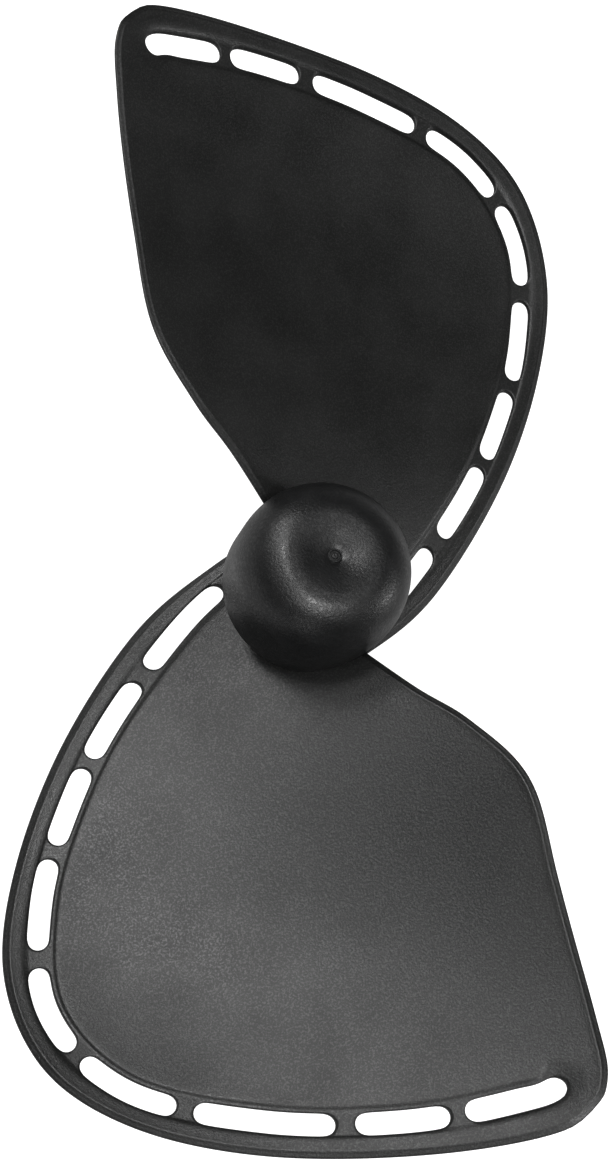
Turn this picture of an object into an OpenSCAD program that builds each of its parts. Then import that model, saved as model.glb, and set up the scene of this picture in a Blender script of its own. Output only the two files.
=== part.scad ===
// Two-blade soft fan propeller for a 12 V cabin fan, +Z out of the nose.
// The origin is at the middle of the hub's rear face, on the shaft line.

/* [Rotor] */
// Factor on every plan dimension of the blade outline
blade_scale = 1; // [0.95:0.01:1.05]
// Thickness of the blade sheet
blade_t = 1.4; // [1.2:0.1:1.8]
// Pitch of the blade at the shaft line, in degrees
pitch_root = 31; // [27:1:33]
// Pitch of the blade at the tip, in degrees
pitch_tip = 24; // [20:1:27]
// Rise of the blade tip above its root, towards the nose
tip_rise = 13.8; // [12:0.2:15]
// Height of the gentle S along the blade
wave = 1.9; // [0:0.1:2.2]
// Cupping of the blade, as the rise of its edge 80 mm from the middle line
cup = 23; // [16:1:26]

/* [Slots] */
// Width of the slots along the trailing edge
slot_w = 3.2; // [2.4:0.1:3.4]
// Width of the bridge between two slots
bridge = 2.3; // [2:0.1:3]

/* [Hub] */
// Radius of the nose cap
cap_r = 13.8; // [13.4:0.1:14.4]
// Height of the nose cap's rim above the hub's rear face
cap_z = 15.5; // [15:0.1:16]
// Height that the nose would have without its dish, above the hub's rear face
nose_z = 35; // [34:0.2:36]
// Wall of the nose cap
cap_wall = 1.6; // [1.2:0.1:1.8]
// Radius of the hub barrel behind the cap
core_r = 10.5; // [10.2:0.1:10.8]
// Diameter of the motor shaft that the hub fits
shaft_d = 3.17; // [3:0.01:3.2]

/* [Hidden] */
$fn = 96;

// Blade sheet
root_z = 12.6;      // height of the sheet on the shaft line
ref = 80;           // length over which pitch, rise and cup are stated
groove_gap = 1.5;   // room above and below the sheet in the hub, for its flex
root_r = 10;        // inner end of the blade, in the hub's groove
groove_r = 9.1;     // bottom of that groove
groove_reach = 18;
groove_cells = [8, 8];
box_min = [-36, -14];
box_max = [54, 94];
cells = [11, 13];
root_from = -70;    // sector of the hub that one blade's root takes, in degrees
root_to = 130;
root_reach = 26;
root_sector = concat([[0, 0]], [for (a = [root_from:8:root_to]) root_reach * [cos(a), sin(a)]]);

// Outline of one blade in plan: up the leading edge, round the tip, down the trailing edge
outline = [[-2.4, 6.2], [-12.7, 18.1], [-19.6, 24.9], [-26.4, 35], [-28.8, 50], [-31, 70],
    [-30.8, 80.2], [-25.3, 85.7], [-8, 87.7], [14, 86.2], [31.8, 80.8], [43.5, 71.5], [48.3, 57],
    [45.6, 40], [37.4, 20.8], [24.7, 2.5], [12, -7.6], [9, -8.2], [5, -4]];
steps = 8;

// Middle line of the row of slots, from the tip's corner to the root
row = [[-27.2, 77.6], [-19.6, 81.2], [-4.9, 82.8], [13.5, 81.3], [32.1, 75.4], [42.2, 63],
    [42.2, 46.6], [37.3, 31.6], [30, 18], [18.3, 3], [10, -4.2]];
row_start = 1.4;
slot_lengths = [13.5, 12.6, 19.4, 15.1, 13.6, 14.2, 12.9, 14.3, 17.7];

// Nose cap
shoulder_z = 22;    // top of the cap's straight wall
dome_power = 2.8;   // squareness of the dome over it
dish_r = 8.4;       // reach of the shallow dish in the nose
dish_depth = 2;
gate_r = 1;         // radius of the moulding gate's ring
gate_h = 0.15;

// Hub core
core_top = 25;
recess_z = 11;      // depth of the ribbed recess in the rear face
recess_r = 8.2;
boss_r = 5;
rib_t = 1.2;
rib_z = 2;
ribs = 8;
snap_z = 22.5;      // snap bead that holds the cap
snap_r = 0.5;
snap_room = 0.05;
collar_t = 1.4;     // cap's inner collar, which grips the core

// Shaft fixing
bush_r = 3.4;
bush_z = 15;
shaft_r = shaft_d / 2 + 0.02;
tip_room_r = 2.4;   // pocket beyond the bush for the shaft's end
tip_room = 3;
screw_r = 1.5;
screw_z = 4;
screw_len = 4.2;
key_r = 0.8;
access_r = 1.8;

// Catmull-Rom point between p1 and p2
function spline(p0, p1, p2, p3, t) =
    0.5 * (2 * p1 + (p2 - p0) * t + (2 * p0 - 5 * p1 + 4 * p2 - p3) * t * t
    + (3 * p1 - p0 - 3 * p2 + p3) * t * t * t);
function curve(knots) =
    let (last = len(knots) - 1)
    concat([for (i = [0:last - 1], s = [0:steps - 1])
        spline(knots[max(i - 1, 0)], knots[i], knots[i + 1], knots[min(i + 2, last)], s / steps)],
        [knots[last]]);
edge = blade_scale * curve(outline);

// The row's middle line with its running length
mid_line = blade_scale * curve(row);
function run(points, i = 0, sum = 0) =
    i >= len(points) ? [] :
    let (next = sum + (i == 0 ? 0 : norm(points[i] - points[i - 1])))
    concat([next], run(points, i + 1, next));
lengths = run(mid_line);
mid_x = [for (i = [0:len(mid_line) - 1]) [lengths[i], mid_line[i].x]];
mid_y = [for (i = [0:len(mid_line) - 1]) [lengths[i], mid_line[i].y]];
function on_line(s) = [lookup(s, mid_x), lookup(s, mid_y)];
function side(s) =
    let (d = on_line(s + 0.5) - on_line(s - 0.5))
    [d.y, -d.x] / norm(d);
function slot_start(i) = i == 0 ? row_start : slot_start(i - 1) + slot_lengths[i - 1] + bridge;

// Height of the blade sheet over a point of its plan
function pitch(y) = pitch_root + (pitch_tip - pitch_root) * y / ref;
function sheet_z(x, y) =
    root_z + tip_rise * y / ref + wave * sin(360 * y / ref)
    - x * tan(pitch(y)) + cup * x * x / (ref * ref);

module slot(from, to) {
    r = slot_w / 2;
    a = from + r;
    b = to - r;
    n = 8;
    polygon(concat(
        [for (i = [0:n]) on_line(a + (b - a) * i / n) + r * side(a + (b - a) * i / n)],
        [for (i = [n:-1:0]) on_line(a + (b - a) * i / n) - r * side(a + (b - a) * i / n)]));
    for (s = [a, b])
        translate(on_line(s)) circle(r, $fn = 20);
}

module blade_plan() {
    difference() {
        polygon(edge);
        circle(root_r, $fn = 64);
        for (i = [0:len(slot_lengths) - 1])
            slot(slot_start(i), slot_start(i) + slot_lengths[i]);
    }
}

// Curved sheet of thickness t over a rectangle of the plan, split into n cells
module sheet(t, low, high, n) {
    function at(i, j, s) =
        let (x = low.x + (high.x - low.x) * i / n.x, y = low.y + (high.y - low.y) * j / n.y)
        [x, y, sheet_z(x, y) + s * t / 2 / cos(pitch(y))];
    function id(i, j, top) = (top ? (n.x + 1) * (n.y + 1) : 0) + j * (n.x + 1) + i;
    polyhedron(
        points = [for (s = [-1, 1], j = [0:n.y], i = [0:n.x]) at(i, j, s)],
        faces = concat(
            [for (i = [0:n.x - 1], j = [0:n.y - 1]) each [
                [id(i, j, false), id(i + 1, j, false), id(i + 1, j + 1, false)],
                [id(i, j, false), id(i + 1, j + 1, false), id(i, j + 1, false)],
                [id(i, j, true), id(i + 1, j + 1, true), id(i + 1, j, true)],
                [id(i, j, true), id(i, j + 1, true), id(i + 1, j + 1, true)]]],
            [for (i = [0:n.x - 1]) each [
                [id(i, 0, false), id(i, 0, true), id(i + 1, 0, true), id(i + 1, 0, false)],
                [id(i, n.y, false), id(i + 1, n.y, false), id(i + 1, n.y, true), id(i, n.y, true)]]],
            [for (j = [0:n.y - 1]) each [
                [id(0, j, false), id(0, j + 1, false), id(0, j + 1, true), id(0, j, true)],
                [id(n.x, j, false), id(n.x, j, true), id(n.x, j + 1, true), id(n.x, j + 1, false)]]]));
}

module blade() {
    resize([0, 0, 0])
        intersection() {
            sheet(blade_t, box_min, box_max, cells);
            translate([0, 0, -30]) linear_extrude(100) blade_plan();
        }
}

// Room for one blade's root in the hub
module groove() {
    intersection() {
        sheet(blade_t + 2 * groove_gap, -[groove_reach, groove_reach],
            [groove_reach, groove_reach], groove_cells);
        translate([0, 0, -20]) linear_extrude(80) polygon(root_sector);
    }
}

module nose_cap() {
    color("#1d1d1f")
        difference() {
            rotate_extrude() cap_profile();
            for (a = [0, 180])
                rotate(a) groove();
        }
}

// Point of the dome at an angle up from its shoulder, for a shell of thickness w inside it
function dome(w, a) =
    let (r = (cap_r - w) * pow(cos(a), 2 / dome_power), u = min(r / dish_r, 1))
    [r, shoulder_z + (nose_z - shoulder_z - w) * pow(sin(a), 2 / dome_power)
        - dish_depth * (1 + cos(180 * u)) / 2];

module cap_profile() {
    n = 22;
    gate_z = nose_z - dish_depth;
    polygon(concat(
        [[cap_r, cap_z]],
        [for (i = [0:n - 1]) dome(0, 90 * i / n)],
        [[gate_r + 0.2, gate_z], [gate_r, gate_z + gate_h], [gate_r - 0.3, gate_z + gate_h],
        [gate_r - 0.5, gate_z], [0, gate_z]],
        [for (i = [n:-2:0]) dome(cap_wall, 90 * i / n)],
        [[cap_r - cap_wall, cap_z]]));
    difference() {
        translate([core_r, cap_z + 1]) square([collar_t, core_top - cap_z - 1]);
        translate([core_r, snap_z]) circle(snap_r + snap_room, $fn = 24);
    }
    translate([core_r, core_top - 1.2]) square([cap_r - cap_wall - core_r + 0.3, 1.2]);
}

module hub_core() {
    color("#2b2b2e")
        difference() {
            union() {
                rotate_extrude() core_profile();
                for (a = [0:ribs - 1])
                    rotate(360 / ribs * a + 180 / ribs)
                        translate([boss_r - 1, -rib_t / 2, rib_z])
                            cube([recess_r - boss_r + 1.5, rib_t, recess_z - rib_z + 1]);
            }
            for (a = [0, 180])
                rotate(a) difference() {
                    groove();
                    cylinder(r = groove_r, h = 60, center = true);
                }
            translate([0, 0, screw_z]) rotate([0, 90, 0]) cylinder(r = access_r, h = 20);
        }
}

module core_profile() {
    difference() {
        square([core_r, core_top]);
        translate([boss_r, -1]) square([recess_r - boss_r, recess_z + 1]);
        translate([-1, -1]) square([bush_r + 1, bush_z + 1]);
        translate([-1, 0]) square([tip_room_r + 1, bush_z + tip_room]);
    }
    translate([core_r, snap_z]) circle(snap_r, $fn = 24);
}

module shaft_bush() {
    color("#b8964e")
        difference() {
            cylinder(r = bush_r, h = bush_z);
            translate([0, 0, -1]) cylinder(r = shaft_r, h = bush_z + 2);
            translate([0, 0, screw_z]) rotate([0, 90, 0]) cylinder(r = screw_r, h = 10);
        }
}

module grub_screw() {
    color("#6e7073")
        translate([shaft_r + 0.05, 0, screw_z]) rotate([0, 90, 0])
            difference() {
                union() {
                    cylinder(r1 = screw_r - 0.5, r2 = screw_r, h = 0.5);
                    translate([0, 0, 0.5]) cylinder(r = screw_r, h = screw_len - 0.5);
                }
                translate([0, 0, screw_len - 1.6]) cylinder(r = key_r, h = 2, $fn = 6);
            }
}

module blade_a() {
    color("#38393b") blade();
}

module blade_b() {
    color("#38393b") rotate(180) blade();
}

nose_cap();
hub_core();
shaft_bush();
grub_screw();
blade_a();
blade_b();
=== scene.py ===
import math
from bisect import bisect_right

import bmesh
import bpy
from mathutils import Matrix, Vector


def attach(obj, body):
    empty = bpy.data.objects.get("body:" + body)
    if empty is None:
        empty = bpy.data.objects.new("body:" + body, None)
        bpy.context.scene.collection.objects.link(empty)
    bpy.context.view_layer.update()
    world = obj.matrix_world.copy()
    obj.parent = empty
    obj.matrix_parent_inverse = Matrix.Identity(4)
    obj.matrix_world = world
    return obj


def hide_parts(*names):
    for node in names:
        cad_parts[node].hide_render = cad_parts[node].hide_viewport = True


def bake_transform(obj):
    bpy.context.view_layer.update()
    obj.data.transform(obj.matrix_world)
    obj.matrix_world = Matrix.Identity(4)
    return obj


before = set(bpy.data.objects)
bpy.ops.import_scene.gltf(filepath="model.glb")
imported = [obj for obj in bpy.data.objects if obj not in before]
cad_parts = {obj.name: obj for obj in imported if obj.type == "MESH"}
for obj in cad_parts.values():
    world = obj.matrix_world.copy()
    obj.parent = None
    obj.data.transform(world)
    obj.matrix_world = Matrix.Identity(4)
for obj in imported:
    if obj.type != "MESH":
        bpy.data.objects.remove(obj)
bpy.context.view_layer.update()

mm = 0.001
print("frame loaded")


class Shade:
    # one socket of a material's tree; sums and products of it add Math nodes

    def __init__(self, tree, socket=None):
        self.tree = tree
        self.socket = socket

    def node(self, kind, settings, inputs, output=0):
        made = self.tree.nodes.new("ShaderNode" + kind)
        for name, value in settings.items():
            if name == "stops":
                self.setStops(made.color_ramp, value)
            else:
                setattr(made, name, value)
        for name, value in inputs.items():
            if isinstance(value, Shade):
                self.tree.links.new(value.socket, made.inputs[name])
            else:
                made.inputs[name].default_value = value
        return Shade(self.tree, made.outputs[output])

    def setStops(self, ramp, stops):
        while len(ramp.elements) < len(stops):
            ramp.elements.new(0.5)
        for element, (place, grey) in zip(ramp.elements, stops):
            element.position = place
            element.color = (grey, grey, grey, 1)

    def math(self, operation, a, b):
        return self.node("Math", {"operation": operation}, {0: a, 1: b})

    def ramp(self, *stops):
        return self.node("ValToRGB", {"stops": stops}, {"Fac": self})

    def __add__(self, other):
        return self.math("ADD", self, other)

    def __mul__(self, other):
        return self.math("MULTIPLY", self, other)

    __radd__ = __add__
    __rmul__ = __mul__


def newMaterial(name, fixed, build):
    material = bpy.data.materials.new(name)
    material.use_nodes = True
    tree = material.node_tree
    surface = tree.nodes["Principled BSDF"]
    for socket, value in fixed.items():
        surface.inputs[socket].default_value = value
    start = Shade(tree)
    where = start.node("TexCoord", {}, {}, "Object")
    for socket, value in build(start, where).items():
        tree.links.new(value.socket, surface.inputs[socket])
    return material


def noise(start, where, size, detail, roughness):
    return start.node("TexNoise", {}, {"Vector": where, "Scale": 1 / (size * mm),
                                       "Detail": detail, "Roughness": roughness})


def mixColours(start, factor, a, b):
    return start.node("Mix", {"data_type": "RGBA"}, {0: factor, 6: a + (1,), 7: b + (1,)}, 2)


bladeFinish = {
    "dark": (0.0072, 0.0074, 0.0072),
    "light": (0.0165, 0.0168, 0.0163),
    "grainSize": 0.30,      # mm, the spark-eroded grain of the mould
    "specksSize": 1.1,      # mm
    "cloudSize": 11,        # mm
    "roughness": 0.30,
    "grainRoughness": 0.10,
    "cloudRoughness": 0.14,
    "bump": 1.0,
    "grainDepth": 0.06,     # mm
    "specular": 0.42,
    "sparkle": 0.5,         # weight of the coat on the grain's tips
    "sparkleRoughness": 0.31,
}
sparkStops = (0.5, 0), (0.62, 1)    # the grain's tips, from none to full


def bladeShader(start, where):
    f = bladeFinish
    grain = noise(start, where, f["grainSize"], 3, 0.65)
    specks = start.node("TexVoronoi", {}, {"Vector": where, "Scale": 1 / (f["specksSize"] * mm)})
    lit = grain.ramp((0.42, 0), (0.72, 1))
    speck = specks.ramp((0, 1), (0.16, 0))
    cloud = noise(start, where, f["cloudSize"], 4, 0.55).ramp((0.3, 0), (0.7, 1))
    mask = lit * 0.55 + cloud * 0.25 + speck * 0.2
    bump = start.node("Bump", {}, {"Strength": f["bump"], "Distance": f["grainDepth"] * mm,
                                   "Height": grain + speck * 0.4})
    return {
        "Base Color": mixColours(start, mask, f["dark"], f["light"]),
        "Roughness": f["roughness"] + lit * f["grainRoughness"] + cloud * f["cloudRoughness"],
        "Coat Weight": grain.ramp(*sparkStops) * f["sparkle"],
        "Normal": bump,
    }


hubFinish = {
    "dark": (0.0062, 0.0064, 0.0066),
    "light": (0.012, 0.0122, 0.0124),
    "grainSize": 0.42,      # mm
    "cloudSize": 5,         # mm
    "roughness": 0.28,
    "grainRoughness": 0.10,
    "cloudRoughness": 0.10,
    "bump": 1.0,
    "grainDepth": 0.075,    # mm
    "specular": 0.42,
    "sparkle": 0.45,
    "sparkleRoughness": 0.25,
}


def hubShader(start, where):
    f = hubFinish
    grain = noise(start, where, f["grainSize"], 3, 0.6)
    cloud = noise(start, where, f["cloudSize"], 3, 0.6).ramp((0.35, 0), (0.68, 1))
    bump = start.node("Bump", {}, {"Strength": f["bump"], "Distance": f["grainDepth"] * mm,
                                   "Height": grain})
    return {
        "Base Color": mixColours(start, cloud * 0.6 + grain * 0.4, f["dark"], f["light"]),
        "Roughness": f["roughness"] + cloud * f["cloudRoughness"] + grain * f["grainRoughness"],
        "Coat Weight": grain.ramp(*sparkStops) * f["sparkle"],
        "Normal": bump,
    }


metalFinish = {
    "brass": (0.62, 0.43, 0.17),
    "brassWorn": (0.75, 0.57, 0.30),
    "steel": (0.035, 0.035, 0.038),
    "steelWorn": (0.16, 0.16, 0.165),
    "scratchSize": 0.6,     # mm
    "roughness": 0.3,
    "wear": 0.2,            # added to the roughness where it is worn
    "bump": 0.15,
    "scratchDepth": 0.02,   # mm
}


def metalShader(dark, light):
    def build(start, where):
        f = metalFinish
        marks = noise(start, where, f["scratchSize"], 4, 0.7)
        worn = marks.ramp((0.4, 0), (0.75, 1))
        bump = start.node("Bump", {}, {"Strength": f["bump"], "Distance": f["scratchDepth"] * mm,
                                       "Height": marks})
        return {
            "Base Color": mixColours(start, worn, f[dark], f[light]),
            "Roughness": f["roughness"] + marks * f["wear"],
            "Normal": bump,
        }
    return build


def plastic(name, finish, build):
    return newMaterial(name, {"Specular IOR Level": finish["specular"],
                              "Coat Roughness": finish["sparkleRoughness"]}, build)


bladePlastic = plastic("bladePlastic", bladeFinish, bladeShader)
hubPlastic = plastic("hubPlastic", hubFinish, hubShader)
turnedBrass = newMaterial("turnedBrass", {"Metallic": 1}, metalShader("brass", "brassWorn"))
blackSteel = newMaterial("blackSteel", {"Metallic": 1}, metalShader("steel", "steelWorn"))
print("materials made")


class Path:
    # a line through points, followed by its running length

    def __init__(self, points):
        self.points = points
        self.runs = [0]
        for a, b in zip(points, points[1:]):
            self.runs.append(self.runs[-1] + (b - a).length)
        self.length = self.runs[-1]

    def at(self, run):
        i = min(max(bisect_right(self.runs, run) - 1, 0), len(self.points) - 2)
        share = (run - self.runs[i]) / (self.runs[i + 1] - self.runs[i])
        return self.points[i].lerp(self.points[i + 1], share)

    def nearest(self, place):
        # running length at the point nearest to place
        best = min(range(len(self.points)), key=lambda i: (self.points[i] - place).length)
        run = self.runs[best]
        for i in (best - 1, best):
            if 0 <= i < len(self.points) - 1:
                a, b = self.points[i], self.points[i + 1]
                share = (place - a).dot(b - a) / (b - a).length_squared
                if 0 < share < 1:
                    run = self.runs[i] + share * (b - a).length
        return run


def splinePoint(p0, p1, p2, p3, t):
    return 0.5 * (2 * p1 + (p2 - p0) * t + (2 * p0 - 5 * p1 + 4 * p2 - p3) * t * t
                  + (3 * p1 - p0 - 3 * p2 + p3) * t * t * t)


def smoothPath(knots, steps=24):
    knots = [Vector(knot) for knot in knots]
    last = len(knots) - 1
    points = []
    for i in range(last):
        for step in range(steps):
            points.append(splinePoint(knots[max(i - 1, 0)], knots[i], knots[i + 1],
                                      knots[min(i + 2, last)], step / steps))
    return Path(points + [knots[last]])


def finishPiece(bm, name, material, levels=0):
    mesh = bpy.data.meshes.new(name)
    bm.to_mesh(mesh)
    bm.free()
    for face in mesh.polygons:
        face.use_smooth = True
    mesh.materials.append(material)
    piece = bpy.data.objects.new(name, mesh)
    bpy.context.scene.collection.objects.link(piece)
    if levels:
        smooth = piece.modifiers.new("smooth", "SUBSURF")
        smooth.levels = smooth.render_levels = levels
    return piece


bladeForm = {
    # plan of one blade in mm, up the leading edge, round the tip and down the slotted edge
    "outline": [(-2.4, 6.2), (-12.7, 18.1), (-19.6, 24.9), (-26.4, 35), (-28.8, 50), (-31, 70),
                (-30.8, 80.2), (-25.3, 85.7), (-8, 87.7), (14, 86.2), (31.8, 80.8), (43.5, 71.5),
                (48.3, 57), (45.6, 40), (37.4, 20.8), (24.7, 2.5), (12, -7.6), (1, -13.5)],
    # a line inside the outline, through the middles of the slots on the trailing side
    "guide": [(5, 5), (-1.2, 13), (-8.8, 21), (-15.8, 28), (-21.7, 37), (-23.9, 50.5), (-26.2, 69),
              (-25.4, 78.8), (-19.6, 81.2), (-4.9, 82.8), (13.5, 81.3), (32.1, 75.4), (42.2, 63),
              (42.2, 46.6), (37.3, 31.6), (30, 18), (18.3, 3), (10, -4.2), (1, -9)],
    "slotMiddles": [(-19.6, 81.2), (-4.9, 82.8), (13.5, 81.3), (32.1, 75.4), (42.2, 63),
                    (42.2, 46.6), (37.3, 31.6), (30, 18), (18.3, 3)],
    "slotLengths": [13.5, 12.6, 19.4, 15.1, 13.6, 14.2, 12.9, 14.3, 17.7],
    "slotWidth": 3.2,
    "columnStep": 1.5,       # mm between columns along a slot
    "bridgeColumns": 6,
    "fanColumns": 6,
    "tailColumns": 5,
    "cornerSlot": 3,         # the slot at the tip's far corner, counted from 0
    "relaxing": 30,          # rounds of smoothing of the panel's grid
    "fanReach": (4, 7),      # mm over which the groove fades out, before the first slot and past the last
    "rootRadius": 10,        # mm, where the blade ends inside the hub
    "rootCut": -36,          # degrees round the hub, where its root ends
    "rimRoom": 3.2,          # mm that the rim's rings take at full size
    "turnReach": 5,          # mm over which the columns' direction is evened out
    "turnSamples": 4,        # on each side
    "rootHeight": 12.6,
    "reference": 80,         # mm, over which the pitch, the rise, the wave and the cup are given
    "pitchRoot": 31,         # degrees
    "pitchTip": 24,
    "tipRise": 13.8,
    "wave": 1.9,
    "cup": 23,
    "half": 0.70,            # half of the blade's thickness
    # rings from the edge inwards in mm: distance, height of the front, depth of the rear
    "rim": [(0, 0.06, 0.34), (0.10, 0.24, 0.52), (0.34, 0.38, 0.64), (0.75, 0.54, 0.70), (0.95, 0.74, 0.70),
            (1.2, 0.76, 0.70), (1.45, 0.70, 0.70), (2.5, 0.70, 0.70), (3.0, 0.62, 0.70)],
    "fixedRings": 6,         # the outermost, which keep their heights where the groove fades out
    "slotFloor": (0.40, 0.66),
    # rings from the middle of the slots inwards
    "lip": [(1.85, 0.40, 0.70), (2.2, 0.42, 0.70), (2.45, 0.64, 0.70), (2.75, 0.70, 0.70),
            (3.7, 0.70, 0.70)],
}
slotAngles = range(0, 181, 30)    # degrees round a slot's end, one for each ring across the slot


def bladePitch(y):
    f = bladeForm
    return math.radians(f["pitchRoot"] + (f["pitchTip"] - f["pitchRoot"]) * y / f["reference"])


def sheetHeight(x, y):
    f = bladeForm
    share = y / f["reference"]
    return (f["rootHeight"] + f["tipRise"] * share + f["wave"] * math.sin(2 * math.pi * share)
            - x * math.tan(bladePitch(y)) + f["cup"] * (x / f["reference"]) ** 2)


class BladePlan:
    # columns run inwards from the edge, and rings run along it

    def __init__(self):
        f = bladeForm
        self.edge = smoothPath(f["outline"])
        self.guide = smoothPath(f["guide"])
        self.half = f["slotWidth"] / 2
        self.makeRings()
        self.makeSlotColumns()
        self.makeEndColumns()

    def makeRings(self):
        # (measured from, distance, bulge round a slot's end, front, rear)
        f = bladeForm
        front, rear = f["slotFloor"]
        self.rings = [("edge", d, 0, a, b) for d, a, b in f["rim"]]
        self.slotRings = range(len(self.rings), len(self.rings) + len(slotAngles) - 1)
        for angle in slotAngles:
            turn = math.radians(angle)
            self.rings.append(("guide", -self.half * math.cos(turn), math.sin(turn), front, rear))
        self.rings += [("guide", d, 0, a, b) for d, a, b in f["lip"]]

    def makeSlotColumns(self):
        # a column is (run along the guide, bulge, share of the groove), and opened says if a slot follows it
        f = bladeForm
        half = self.half
        columns, opened = [], []
        fan = f["fanColumns"]
        before, past = f["fanReach"]
        spans = []
        for middle, length in zip(f["slotMiddles"], f["slotLengths"]):
            run = self.guide.nearest(Vector(middle))
            spans.append((run - length / 2 + half, run + length / 2 - half))
        for i in range(fan):
            share = i / fan
            columns.append((spans[0][0] - before * (1 - share), -half * share, share))
            opened.append(False)
        for i, (a, b) in enumerate(spans):
            count = round((b - a) / f["columnStep"])
            for j in range(count):
                columns.append((a + (b - a) * j / count, -half if j == 0 else 0, 1))
                opened.append(True)
            if i + 1 < len(spans):
                for j in range(f["bridgeColumns"]):
                    share = j / f["bridgeColumns"]
                    columns.append((b + (spans[i + 1][0] - b) * share, half * (1 - 2 * share), 1))
                    opened.append(False)
        for i in range(fan + 1):
            share = i / fan
            columns.append((spans[-1][1] + past * share, half * (1 - share), 1))
            opened.append(False)
        self.columns, self.opened = columns, opened

    def makeEndColumns(self):
        # equal numbers of columns on the two long sides make the panel a grid
        f = bladeForm
        slot, tail = f["cornerSlot"], f["tailColumns"]
        corner = self.guide.nearest(Vector(f["slotMiddles"][slot])) + f["slotLengths"][slot] / 2
        tipTo = sum(1 for run, bulge, share in self.columns if run < corner)
        tipFrom = f["fanColumns"] - 1
        self.sideCount = len(self.columns) - 1 - tipTo + tail
        lead = self.leadColumns = self.sideCount - tipFrom
        self.first, self.last = self.columns[0][0], self.columns[-1][0]
        self.columns = [(None, 0, 0)] * lead + self.columns + [(None, 0, 0)] * tail
        self.opened = [False] * lead + self.opened + [False] * tail
        self.tip = (tipFrom + lead, tipTo + lead)
        rings = range(len(self.rings))
        self.starts = [self.crossing(ring, self.first, 0) for ring in rings]
        self.ends = [self.crossing(ring, self.last, self.guide.length) for ring in rings]

    def crossing(self, ring, outside, inside):
        # run at which a ring passes into the hub
        for halving in range(24):
            middle = (outside + inside) / 2
            place = self.spot(middle, ring)
            angle = math.degrees(math.atan2(place.y, place.x))
            if place.length < bladeForm["rootRadius"] or -90 < angle < bladeForm["rootCut"]:
                inside = middle
            else:
                outside = middle
        return outside

    def across(self, run):
        # from the edge's nearest point to the guide
        guide = self.guide.at(run)
        return guide - self.edge.at(self.edge.nearest(guide))

    def spot(self, run, ring):
        origin, d = self.rings[ring][:2]
        guide = self.guide.at(run)
        if origin == "guide":
            # an average over a few mm keeps the columns from crossing inside the tip's corner
            inward = Vector((0, 0))
            samples = bladeForm["turnSamples"]
            for step in range(-samples, samples + 1):
                inward += self.across(run + step * bladeForm["turnReach"] / samples).normalized()
            return guide + inward.normalized() * d
        inward = self.across(run)
        room = inward.length - self.half
        return guide - inward + inward.normalized() * d * min(1, room / bladeForm["rimRoom"])

    def place(self, column, ring):
        run, side = self.columns[column][:2]
        tail = bladeForm["tailColumns"]
        tailFrom = len(self.columns) - tail
        if column < self.leadColumns:
            run = self.starts[ring] + (self.first - self.starts[ring]) * column / self.leadColumns
        elif column >= tailFrom:
            share = (column - tailFrom + 1) / tail
            run = self.last + (self.ends[ring] - self.last) * share
        return self.spot(run + side * self.rings[ring][2], ring)

    def heights(self, column, ring):
        front, rear = self.rings[ring][3:]
        share = self.columns[column][2]
        full = bladeForm["half"]
        if ring < bladeForm["fixedRings"]:
            share = 1
        return full + (front - full) * share, full + (rear - full) * share


plan = BladePlan()
print("blade columns", len(plan.columns), "rings", len(plan.rings))


def panelPlace(u, v, sides):
    # a point of the panel between its four sides
    bottom, top, left, right = sides
    nu, nv = len(bottom) - 1, len(left) - 1
    i, j = round(u * nu), round(v * nv)
    straight = (bottom[0] * (1 - u) + bottom[-1] * u) * (1 - v) + (top[0] * (1 - u) + top[-1] * u) * v
    return bottom[i] * (1 - v) + top[i] * v + left[j] * (1 - u) + right[j] * u - straight


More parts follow.
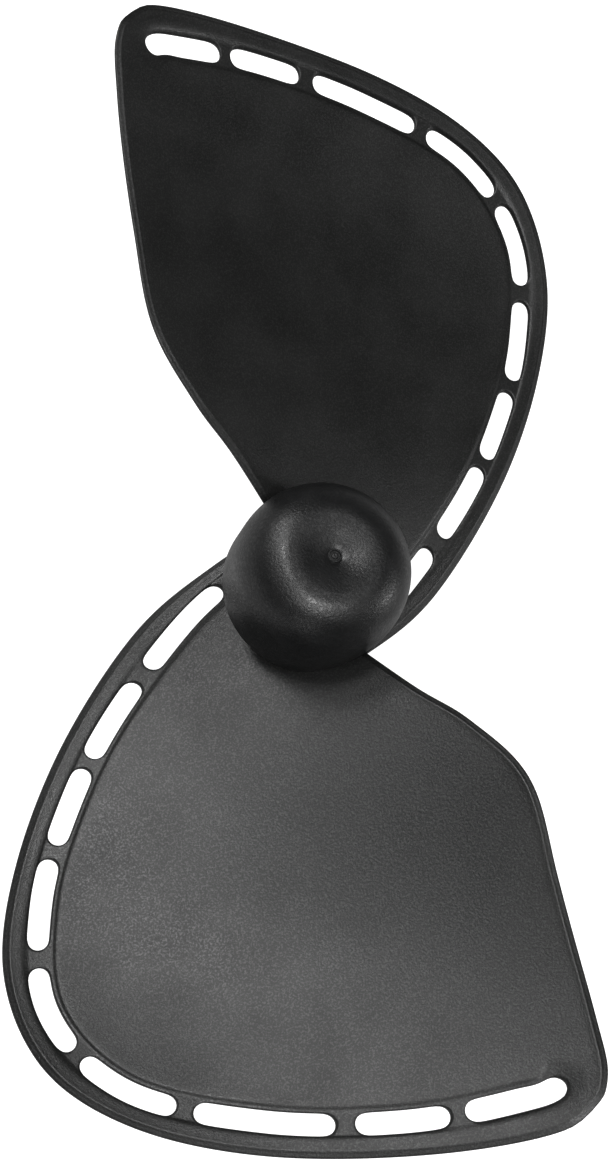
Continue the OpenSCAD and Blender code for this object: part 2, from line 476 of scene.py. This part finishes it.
def buildBlade(name):
    bm = bmesh.new()
    column = bm.verts.layers.int.new("column")
    front = bm.verts.layers.float.new("front")
    rear = bm.verts.layers.float.new("rear")
    inner = len(plan.rings) - 1
    last = len(plan.columns) - 1
    tipFrom, tipTo = plan.tip
    nu, nv = tipTo - tipFrom, plan.sideCount
    left = [plan.place(c, inner) for c in range(tipFrom + 1)]
    top = [plan.place(c, inner) for c in range(tipFrom, tipTo + 1)]
    right = [plan.place(last - j, inner) for j in range(nv + 1)]
    angles = [math.atan2(place.y, place.x) for place in (left[0], right[0])]
    bottom = []
    for i in range(nu + 1):
        angle = angles[0] + (angles[1] - angles[0]) * i / nu
        bottom.append(bladeForm["rootRadius"] * Vector((math.cos(angle), math.sin(angle))))
    bmesh.ops.create_grid(bm, x_segments=nu, y_segments=nv, size=1)
    for vert in bm.verts:
        u, v = (vert.co.x + 1) / 2, (vert.co.y + 1) / 2
        place = panelPlace(u, v, (bottom, top, left, right))
        i, j = round(u * nu), round(v * nv)
        vert.co = (place.x, place.y, 0)
        vert[front] = vert[rear] = bladeForm["half"]
        vert[column] = -1
        if i == 0:
            vert[column] = j
        elif j == nv:
            vert[column] = tipFrom + i
        elif i == nu:
            vert[column] = last - j
    loose = [vert for vert in bm.verts if not vert.is_boundary]
    for smoothing in range(bladeForm["relaxing"]):
        bmesh.ops.smooth_vert(bm, verts=loose, factor=0.5, use_axis_x=True, use_axis_y=True)
    chain = []
    for edge in bm.edges:
        ends = [vert[column] for vert in edge.verts]
        if edge.is_boundary and min(ends) >= 0 and abs(ends[0] - ends[1]) == 1:
            chain.append(edge)
    slots = []
    for ring in range(inner - 1, -1, -1):
        made = bmesh.ops.extrude_edge_only(bm, edges=chain)["geom"]
        verts = [item for item in made if isinstance(item, bmesh.types.BMVert)]
        for vert in verts:
            place = plan.place(vert[column], ring)
            vert.co = (place.x, place.y, 0)
            vert[front], vert[rear] = plan.heights(vert[column], ring)
        fresh = set(verts)
        chain = [item for item in made if isinstance(item, bmesh.types.BMEdge)
                 and item.verts[0] in fresh and item.verts[1] in fresh]
        if ring in plan.slotRings:
            for item in made:
                if isinstance(item, bmesh.types.BMFace) and plan.opened[min(v[column] for v in item.verts)]:
                    slots.append(item)
    bmesh.ops.delete(bm, geom=slots, context="FACES")
    made = bmesh.ops.extrude_face_region(bm, geom=bm.faces[:])["geom"]
    back = {item for item in made if isinstance(item, bmesh.types.BMVert)}
    for vert in bm.verts:
        x, y = vert.co.x, vert.co.y
        height = -vert[rear] if vert in back else vert[front]
        vert.co.z = sheetHeight(x, y) + height / math.cos(bladePitch(y))
        vert.co *= mm
    bmesh.ops.recalc_face_normals(bm, faces=bm.faces)
    return finishPiece(bm, name, bladePlastic, 1)


def turnedCopy(piece, name):
    mesh = piece.data.copy()
    mesh.name = name
    mesh.transform(Matrix.Rotation(math.pi, 4, "Z"))
    twin = bpy.data.objects.new(name, mesh)
    bpy.context.scene.collection.objects.link(twin)
    for modifier in piece.modifiers:
        smooth = twin.modifiers.new(modifier.name, modifier.type)
        smooth.levels = modifier.levels
        smooth.render_levels = modifier.render_levels
    return twin


flexBlend = {
    "across": (0.689, 0.725, 0),   # direction from the hinge line into blade A
    "hinge": (2, 2, 0),
    "from": 12.5,                  # mm from the hinge line
    "to": 34,
}


def bendAcross(piece, side):
    across = Vector(flexBlend["across"]) * side
    hinge = Vector(flexBlend["hinge"]) * side
    (hinge + across * flexBlend["from"]) * mm
    (hinge + across * flexBlend["to"]) * mm
    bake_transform(piece)


bladeA = buildBlade("blade_a_soft")
bladeB = turnedCopy(bladeA, "blade_b_soft")
for blade, node, body, side in ((bladeA, "blade_a", "soft_blade_a", 1),
                                (bladeB, "blade_b", "soft_blade_b", -1)):
    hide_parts(node)
    bendAcross(blade, side)
print("blades made", len(bladeA.data.polygons))


hubForm = {
    "capRadius": 13.8,
    "rimHeight": 15.5,
    "rimRound": 0.35,
    "rimWall": 3,            # mm of straight wall over the rim
    "shoulderHeight": 22,
    "noseHeight": 35,        # of the dome without its dish
    "domePower": 2.8,
    "domeSteps": 64,
    "insideSteps": 24,
    "dishRadius": 8.4,
    "dishDepth": 2,
    "wall": 1.6,
    # the moulding's gate mark: radius, height over the dish
    "gateMark": [(1.25, 0), (1.14, -0.05), (1.04, 0.15), (0.88, 0.15), (0.76, -0.08), (0.55, -0.08),
                 (0.45, 0.06), (0.2, 0.1), (0, 0.02)],
    "gateRoom": 1.5,         # mm from the shaft line, where the dish ends at the mark
    "notchRoom": 0.1,        # mm of room round the blades' roots
    "notchFrom": 9.2,        # mm from the shaft line
    "notchTo": 18,
    "notchAngles": (-39, 126.5),
    "coreRadius": 10.5,
    "coreTop": 25,
    "recessRadius": 8.2,
    "recessDepth": 11,
    "bossRadius": 5,
    "ribs": 8,
    "ribWidth": 1.2,
    "ribHeight": 2,
    "ribRoot": 0.6,          # mm that a rib reaches into the walls beside it
    "ribSink": 0.8,          # and into the roof over it
    "ribChamfer": 0.25,
    "draft": 0.15,           # mm that the boss is wider at its root
    "fillet": 0.8,
    "bossRound": 0.3,
    "topRound": 0.4,
    "bushRadius": 3.4,
    "bushLength": 15,
    "seatRoom": 0.02,        # mm between the bush and its seat
    "screwHeight": 4,
    "accessRadius": 1.8,
    "barLength": 16,
    "sharpAngle": 30,        # degrees between two faces, over which their edge shades sharp
    "steps": 144,
}


def spun(profile, steps):
    # a closed profile of (radius, height) in mm, turned round the shaft line
    bm = bmesh.new()
    verts = [bm.verts.new((r * mm, 0, z * mm)) for r, z in profile]
    edges = [bm.edges.new(pair) for pair in zip(verts, verts[1:] + verts[:1])]
    bmesh.ops.spin(bm, geom=verts + edges, cent=(0, 0, 0), axis=(0, 0, 1), dvec=(0, 0, 0),
                   angle=2 * math.pi, steps=steps, use_merge=True, use_normal_flip=False, use_duplicate=False)
    bmesh.ops.remove_doubles(bm, verts=bm.verts, dist=0.004 * mm)
    bmesh.ops.recalc_face_normals(bm, faces=bm.faces)
    return bm


def arc(middle, radius, fromAngle, toAngle, count):
    points = []
    for i in range(count + 1):
        angle = math.radians(fromAngle + (toAngle - fromAngle) * i / count)
        points.append((middle[0] + radius * math.cos(angle), middle[1] + radius * math.sin(angle)))
    return points


def domePoint(inside, angle):
    # a point of the dome at an angle up from its shoulder, for a shell that far inside it
    f = hubForm
    power = 2 / f["domePower"]
    radius = (f["capRadius"] - inside) * max(math.cos(angle), 0) ** power
    rise = (f["noseHeight"] - f["shoulderHeight"] - inside) * math.sin(angle) ** power
    dish = f["dishDepth"] * (1 + math.cos(math.pi * min(radius / f["dishRadius"], 1))) / 2
    return radius, f["shoulderHeight"] + rise - dish


def capProfile():
    f = hubForm
    points = arc((f["capRadius"] - f["rimRound"], f["rimHeight"] + f["rimRound"]), f["rimRound"], -90, 0, 4)
    points += [(f["capRadius"], f["rimHeight"] + f["rimWall"])]
    steps, inside = f["domeSteps"], f["insideSteps"]
    points += [domePoint(0, math.pi / 2 * i / steps) for i in range(steps)]
    points = [point for point in points if point[0] > f["gateRoom"]]
    middle = f["noseHeight"] - f["dishDepth"]
    points += [(radius, middle + height) for radius, height in f["gateMark"]]
    points += [domePoint(f["wall"], math.pi / 2 * i / inside) for i in range(inside, -1, -1)]
    points += [(f["capRadius"] - f["wall"], f["rimHeight"])]
    return points


def coreProfile():
    f = hubForm
    r, top, recess, depth = f["coreRadius"], f["coreTop"], f["recessRadius"], f["recessDepth"]
    boss, draft, fillet = f["bossRadius"], f["draft"], f["fillet"]
    hole, end = f["bushRadius"] + f["seatRoom"], f["bushLength"] + f["seatRoom"]
    small, rim, large = f["bossRound"], f["rimRound"], f["topRound"]
    points = [(hole, small), (f["bushRadius"] + small, 0)]
    points += arc((boss - small, small), small, -90, 0, 3)
    points += [(boss + draft, depth - fillet)]
    points += arc((boss + draft + fillet, depth - fillet), fillet, 180, 90, 3)
    points += arc((recess - fillet, depth - fillet), fillet, 90, 0, 3)
    points += arc((recess + rim, rim), rim, 180, 270, 3)
    points += arc((r - rim, rim), rim, -90, 0, 3)
    points += arc((r - large, top - large), large, 0, 90, 3)
    points += [(0, top), (0, end), (hole, end)]
    return points


def notchCutter(side):
    # a slab of the blade's own sheet, over the sector of the hub that its root takes
    f = hubForm
    bm = bmesh.new()
    bmesh.ops.create_grid(bm, x_segments=12, y_segments=48, size=1)
    for vert in bm.verts:
        radius = f["notchFrom"] + (f["notchTo"] - f["notchFrom"]) * (vert.co.x + 1) / 2
        low, high = f["notchAngles"]
        angle = math.radians(low + (high - low) * (vert.co.y + 1) / 2)
        vert.co = (radius * math.cos(angle), radius * math.sin(angle), 0)
    made = bmesh.ops.extrude_face_region(bm, geom=bm.faces[:])["geom"]
    back = {item for item in made if isinstance(item, bmesh.types.BMVert)}
    half = bladeForm["half"] + f["notchRoom"]
    for vert in bm.verts:
        x, y = vert.co.x, vert.co.y
        vert.co.z = sheetHeight(x, y) + (-half if vert in back else half) / math.cos(bladePitch(y))
        vert.co *= mm
    bmesh.ops.recalc_face_normals(bm, faces=bm.faces)
    if side < 0:
        bmesh.ops.rotate(bm, verts=bm.verts, cent=(0, 0, 0), matrix=Matrix.Rotation(math.pi, 3, "Z"))
    return finishPiece(bm, "notch", hubPlastic)


def roundBar(radius, height, length):
    # a bar from the shaft line along +X
    bm = bmesh.new()
    bmesh.ops.create_cone(bm, cap_ends=True, segments=48, radius1=radius * mm, radius2=radius * mm,
                          depth=length * mm)
    bmesh.ops.rotate(bm, verts=bm.verts, cent=(0, 0, 0), matrix=Matrix.Rotation(math.pi / 2, 3, "Y"))
    bmesh.ops.translate(bm, verts=bm.verts, vec=(length / 2 * mm, 0, height * mm))
    return finishPiece(bm, "bar", hubPlastic)


def combine(piece, others, operation):
    # cuts the others from the piece, or joins them to it
    for other in others:
        step = piece.modifiers.new("combine", "BOOLEAN")
        step.operation = operation
        step.solver = "EXACT"
        step.object = other
    shape = bpy.data.meshes.new_from_object(piece.evaluated_get(bpy.context.evaluated_depsgraph_get()))
    piece.modifiers.clear()
    piece.data = shape
    for other in others:
        bpy.data.objects.remove(other)


def crisp(piece):
    for face in piece.data.polygons:
        face.use_smooth = True
    piece.data.set_sharp_from_angle(angle=math.radians(hubForm["sharpAngle"]))


nose = finishPiece(spun(capProfile(), hubForm["steps"]), "nose_cap_shell", hubPlastic)
combine(nose, [notchCutter(1), notchCutter(-1)], "DIFFERENCE")
crisp(nose)
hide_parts("nose_cap")
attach(nose, "hub")
print("nose cap made", len(nose.data.polygons))


def buildRibs():
    f = hubForm
    ribs = []
    for i in range(f["ribs"]):
        bm = bmesh.new()
        inner, outer = f["bossRadius"] - f["ribRoot"], f["recessRadius"] + f["ribRoot"]
        low, high = f["ribHeight"], f["recessDepth"] + f["ribSink"]
        bmesh.ops.create_cube(bm, size=1)
        bmesh.ops.scale(bm, verts=bm.verts, vec=(outer - inner, f["ribWidth"], high - low))
        bmesh.ops.translate(bm, verts=bm.verts, vec=((outer + inner) / 2, 0, (high + low) / 2))
        edges = [edge for edge in bm.edges if all(abs(vert.co.z - low) < 0.01 for vert in edge.verts)
                 and abs(edge.verts[0].co.y - edge.verts[1].co.y) < 0.01]
        bmesh.ops.bevel(bm, geom=edges, offset=f["ribChamfer"], offset_type="OFFSET", segments=2, profile=0.5,
                        affect="EDGES", material=-1)
        turn = math.pi * (2 * i + 1) / f["ribs"]
        bmesh.ops.rotate(bm, verts=bm.verts, cent=(0, 0, 0), matrix=Matrix.Rotation(turn, 3, "Z"))
        bmesh.ops.scale(bm, verts=bm.verts, vec=(mm, mm, mm))
        ribs.append(finishPiece(bm, "rib", hubPlastic))
    return ribs


core = finishPiece(spun(coreProfile(), hubForm["steps"]), "hub_core_barrel", hubPlastic)
combine(core, buildRibs(), "UNION")
combine(core, [notchCutter(1), notchCutter(-1),
               roundBar(hubForm["accessRadius"], hubForm["screwHeight"], hubForm["barLength"])], "DIFFERENCE")
crisp(core)
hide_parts("hub_core")
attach(core, "hub")
print("hub core made", len(core.data.polygons))

for name, metal in (("shaft_bush", turnedBrass), ("grub_screw", blackSteel)):
    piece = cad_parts[name]
    piece.data.materials.clear()
    piece.data.materials.append(metal)

studio = {
    "floorDrop": 13,                  # mm below the hub, room for the blades when they bend down
    "floorSize": 40,                  # m
    "floorColour": (0.42, 0.42, 0.42),
    "floorMottle": 0.985,             # the darker patches' share of that
    "mottleSize": 60,                 # mm
    "floorRoughness": 0.9,
    "floorGlow": 1.1,                 # keeps the floor white where the camera sees it
    "world": 0.02,
    "lightDistance": 1.1,             # m from the object
    # lights: direction from the object, width and height in m, watts
    "lights": [
        ("key", (-0.41, 0.34, 0.85), (0.25, 0.25), 3.8),
        ("keyLeft", (-0.44, 0.0, 0.90), (0.25, 0.25), 1.5),
        ("keyFar", (-0.50, 0.64, 0.58), (0.3, 0.3), 3.0),
        ("front", (-0.15, -0.55, 0.82), (0.4, 0.2), 1.8),
        ("frontRight", (0.31, -0.53, 0.79), (0.25, 0.25), 0.4),
        ("nearCamera", (-0.16, -0.42, 0.89), (0.15, 0.15), 3.4),
        ("nearRight", (0.14, -0.42, 0.90), (0.25, 0.25), 1.2),
        ("right", (0.44, 0.0, 0.90), (0.3, 0.3), 0.5),
        ("low", (-0.37, -0.90, 0.21), (0.3, 0.3), 0.5),
        ("lowRight", (0.92, -0.30, 0.26), (0.3, 0.3), 2.2),
        ("top", (0.12, 0.20, 0.97), (0.3, 0.3), 0.6),
    ],
}


def addLight(name, direction, size, power):
    lamp = bpy.data.lights.new(name, "AREA")
    lamp.shape = "RECTANGLE"
    lamp.size, lamp.size_y = size
    lamp.energy = power
    light = bpy.data.objects.new(name, lamp)
    away = Vector(direction).normalized()
    light.location = away * studio["lightDistance"]
    light.rotation_euler = away.to_track_quat("Z", "Y").to_euler()
    bpy.context.scene.collection.objects.link(light)


def floorShader(start, where):
    mottle = noise(start, where, studio["mottleSize"], 3, 0.5)
    seen = start.node("LightPath", {}, {})      # 1 for the camera's own rays
    colour = studio["floorColour"]
    darker = tuple(studio["floorMottle"] * channel for channel in colour)
    return {
        "Base Color": mixColours(start, mottle, darker, colour),
        "Emission Color": mixColours(start, seen, (0, 0, 0), (1, 1, 1)),
    }


bm = bmesh.new()
bmesh.ops.create_grid(bm, x_segments=1, y_segments=1, size=studio["floorSize"] / 2)
bmesh.ops.translate(bm, verts=bm.verts, vec=(0, 0, -studio["floorDrop"] * mm))
floorPaint = newMaterial("floorPaint", {"Roughness": studio["floorRoughness"],
                                        "Emission Strength": studio["floorGlow"]}, floorShader)
floor = finishPiece(bm, "floor", floorPaint)

for light in studio["lights"]:
    addLight(*light)
world = bpy.data.worlds.new("studioWorld")
world.use_nodes = True
sky = world.node_tree.nodes["Background"]
sky.inputs["Color"].default_value = (1, 1, 1, 1)
sky.inputs["Strength"].default_value = studio["world"]
bpy.context.scene.world = world
bpy.context.scene.view_settings.view_transform = "Standard"

view = {
    "place": (-0.08733, -0.10000, 0.36293),      # m
    "turn": (16.68005, -12.94420, -3.83987),     # degrees
    "lens": 73.798,                              # mm
    "sensor": 36,
    "nearest": 0.01,                             # m
}
camera = bpy.data.objects.new("camera", bpy.data.cameras.new("camera"))
camera.location = view["place"]
camera.rotation_euler = [math.radians(angle) for angle in view["turn"]]
camera.data.lens = view["lens"]
camera.data.sensor_width = view["sensor"]
camera.data.clip_start = view["nearest"]
bpy.context.scene.collection.objects.link(camera)
bpy.context.scene.camera = camera
print("studio made")
